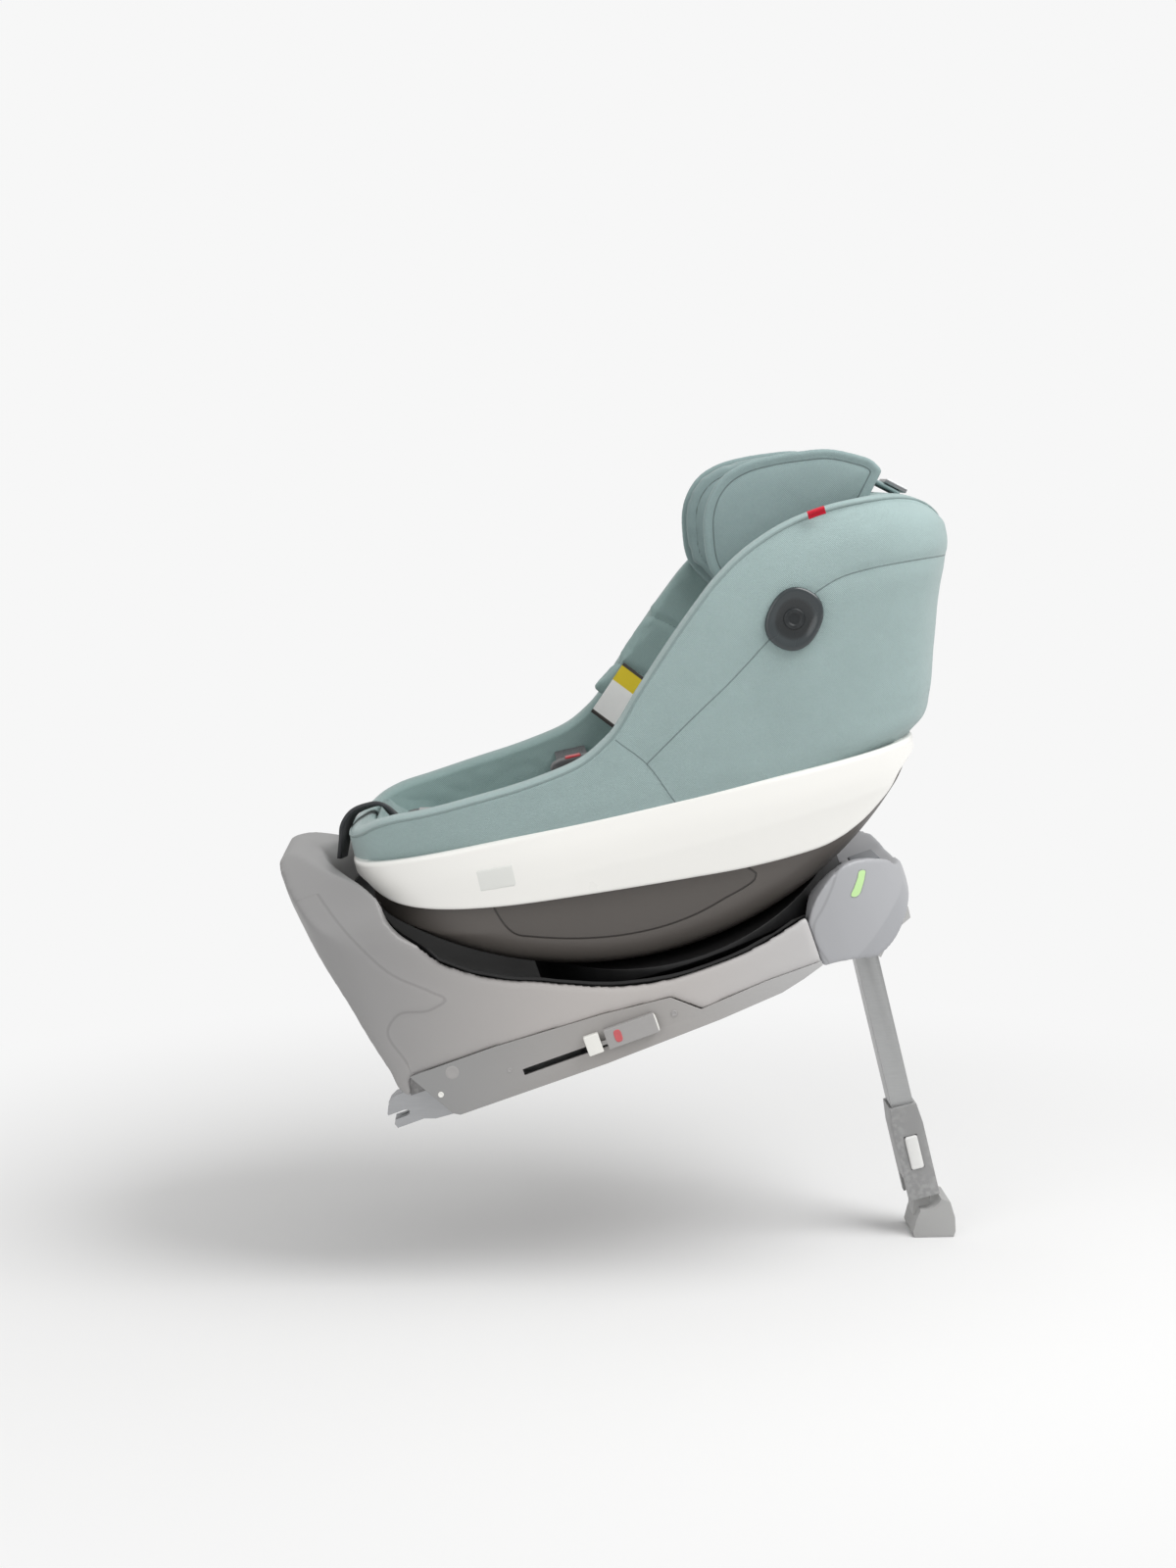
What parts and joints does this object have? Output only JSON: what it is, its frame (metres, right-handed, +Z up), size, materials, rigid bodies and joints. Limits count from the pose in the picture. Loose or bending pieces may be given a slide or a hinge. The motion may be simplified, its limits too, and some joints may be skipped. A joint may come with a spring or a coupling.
{
  "type": "child car seat",
  "caption": "Rear-facing child car seat on a swivelling reclining base with anchor arms and a folding support leg, padded headrest and harness.",
  "frame": {"origin": "middle of the line through the two vehicle anchor bars, where the anchor arms' slots hold them", "axes": "+X from the anchor line towards the support leg, +Z up as the seat stands in use, and -Y towards the near side; stored in the attitude of the picture, with the leg's sole level"},
  "size_m": [0.7745, 0.4364, 0.9087],
  "materials": {
    "shell_grey": "fine matt texture",
    "panel_grey": "fine matt texture",
    "cap_grey": "satin",
    "dark_plastic": "fine matt texture",
    "black_plastic": "satin",
    "white_plastic": "soft gloss",
    "frame_steel": "powder coat",
    "leg_metal": "satin anodised",
    "bright_steel": "brushed",
    "green_lens": "clear satin",
    "cover_fabric": "melange weave",
    "pad_fabric": "soft knit",
    "webbing": "woven",
    "red_key": "gloss"
  },
  "bodies": {
    "base": {"base_chassis": "shell_grey", "base_upper_shell": "panel_grey", "bowl_liner": "black_plastic", "steel_frame": "frame_steel", "swivel_bearing": "black_plastic", "base_end_cap": "cap_grey", "leg_bracket": "shell_grey", "status_lens_near": "green_lens", "status_lens_far": "green_lens"},
    "swivel_key": {"swivel_release_key": "cap_grey"},
    "arm_near": {"isofix_arm_near": "frame_steel", "isofix_unit_near": "shell_grey"},
    "arm_far": {"isofix_arm_far": "frame_steel", "isofix_unit_far": "shell_grey"},
    "hook_near": {"isofix_hook_near": "bright_steel"},
    "hook_far": {"isofix_hook_far": "bright_steel"},
    "release_near": {"isofix_release_near": "white_plastic"},
    "release_far": {"isofix_release_far": "white_plastic"},
    "turntable": {"turntable": "black_plastic", "swivel_hub": "bright_steel", "recline_track_near": "black_plastic", "recline_track_far": "black_plastic"},
    "bucket": {"hull_shell": "dark_plastic", "seat_band": "white_plastic", "seat_shell": "dark_plastic", "inner_lining": "pad_fabric", "front_cover": "cover_fabric", "rear_cover": "cover_fabric", "cap_cover": "cover_fabric", "side_cover_near": "cover_fabric", "side_cover_far": "cover_fabric", "side_socket_near": "dark_plastic", "side_socket_far": "dark_plastic", "side_knob_near": "black_plastic", "side_knob_far": "black_plastic", "seat_pad": "pad_fabric", "back_pad": "pad_fabric", "bolster_near": "pad_fabric", "bolster_far": "pad_fabric", "harness_adjuster": "dark_plastic", "adjuster_strap": "webbing", "buckle": "dark_plastic", "crotch_strap": "webbing", "buckle_tongue_near": "bright_steel", "buckle_tongue_far": "bright_steel", "hip_strap_near": "webbing", "hip_strap_far": "webbing"},
    "headrest": {"headrest_shell": "pad_fabric", "headrest_pad": "pad_fabric", "headrest_wing_pad_near": "pad_fabric", "headrest_wing_pad_far": "pad_fabric", "shoulder_pad_near": "webbing", "shoulder_pad_far": "webbing"},
    "headrest_lever": {"headrest_handle": "bright_steel"},
    "buckle_button": {"buckle_key": "red_key"},
    "adjuster_button": {"adjuster_key": "shell_grey"},
    "leg_upper": {"leg_tube": "leg_metal"},
    "leg_lower": {"leg_sleeve": "shell_grey"},
    "leg_release": {"leg_button": "white_plastic"},
    "foot": {"leg_foot": "shell_grey"}
  },
  "joints": [
    {"name": "seat_swivel", "type": "hinge", "parent": "base", "child": "turntable", "pos_m": [0.3469, 0, 0.12284], "axis": [-0.3338, 0, 0.9426], "continuous": true},
    {"name": "seat_recline", "type": "hinge", "parent": "turntable", "child": "bucket", "pos_m": [0.1893, 0, 0.5678], "axis": [0, -1, 0], "range_deg": [-5.5, 1.5]},
    {"name": "headrest_height", "type": "slide", "parent": "bucket", "child": "headrest", "axis": [0.4493, 0, 0.8934], "range_m": [0, 0.12]},
    {"name": "headrest_lever_lift", "type": "slide", "parent": "headrest", "child": "headrest_lever", "axis": [0.4493, 0, 0.8934], "range_m": [0, 0.003], "stiffness_N_per_m": 300},
    {"name": "buckle_press", "type": "slide", "parent": "bucket", "child": "buckle_button", "axis": [0.2199, 0, -0.9755], "range_m": [0, 0.003], "stiffness_N_per_m": 300},
    {"name": "adjuster_press", "type": "slide", "parent": "bucket", "child": "adjuster_button", "axis": [0.0138, 0, -0.9999], "range_m": [0, 0.003], "stiffness_N_per_m": 300},
    {"name": "swivel_key_press", "type": "slide", "parent": "base", "child": "swivel_key", "axis": [0.3338, 0, -0.9426], "range_m": [0, 0.004], "stiffness_N_per_m": 400},
    {"name": "arm_slide_near", "type": "slide", "parent": "base", "child": "arm_near", "axis": [-0.9426, 0, -0.3338], "range_m": [0, 0.11]},
    {"name": "arm_slide_far", "type": "slide", "parent": "base", "child": "arm_far", "axis": [-0.9426, 0, -0.3338], "range_m": [0, 0.11]},
    {"name": "hook_turn_near", "type": "hinge", "parent": "arm_near", "child": "hook_near", "pos_m": [0.0114, -0.14, 0.0167], "axis": [0, 1, 0], "range_deg": [0, 30], "stiffness_Nm_per_rad": 0.02},
    {"name": "hook_turn_far", "type": "hinge", "parent": "arm_far", "child": "hook_far", "pos_m": [0.0114, 0.14, 0.0167], "axis": [0, 1, 0], "range_deg": [0, 30], "stiffness_Nm_per_rad": 0.02},
    {"name": "release_slide_near", "type": "slide", "parent": "arm_near", "child": "release_near", "axis": [0.9426, 0, 0.3338], "range_m": [0, 0.006], "stiffness_N_per_m": 300},
    {"name": "release_slide_far", "type": "slide", "parent": "arm_far", "child": "release_far", "axis": [0.9426, 0, 0.3338], "range_m": [0, 0.006], "stiffness_N_per_m": 300},
    {"name": "leg_fold", "type": "hinge", "parent": "base", "child": "leg_upper", "pos_m": [0.522, 0, 0.168], "axis": [0, 1, 0], "range_deg": [0, 84]},
    {"name": "leg_extend", "type": "slide", "parent": "leg_upper", "child": "leg_lower", "axis": [0.2419, 0, -0.9703], "range_m": [-0.018, 0.045]},
    {"name": "leg_button_press", "type": "slide", "parent": "leg_lower", "child": "leg_release", "axis": [0, 1, 0], "range_m": [0, 0.003], "stiffness_N_per_m": 300},
    {"name": "foot_tilt", "type": "hinge", "parent": "leg_lower", "child": "foot", "pos_m": [0.59724, 0, -0.13376], "axis": [0, 1, 0], "range_deg": [-8, 8]}
  ],
  "couplings": [
    {"joint": "arm_slide_far", "follows": "arm_slide_near", "ratio": 1}
  ]
}
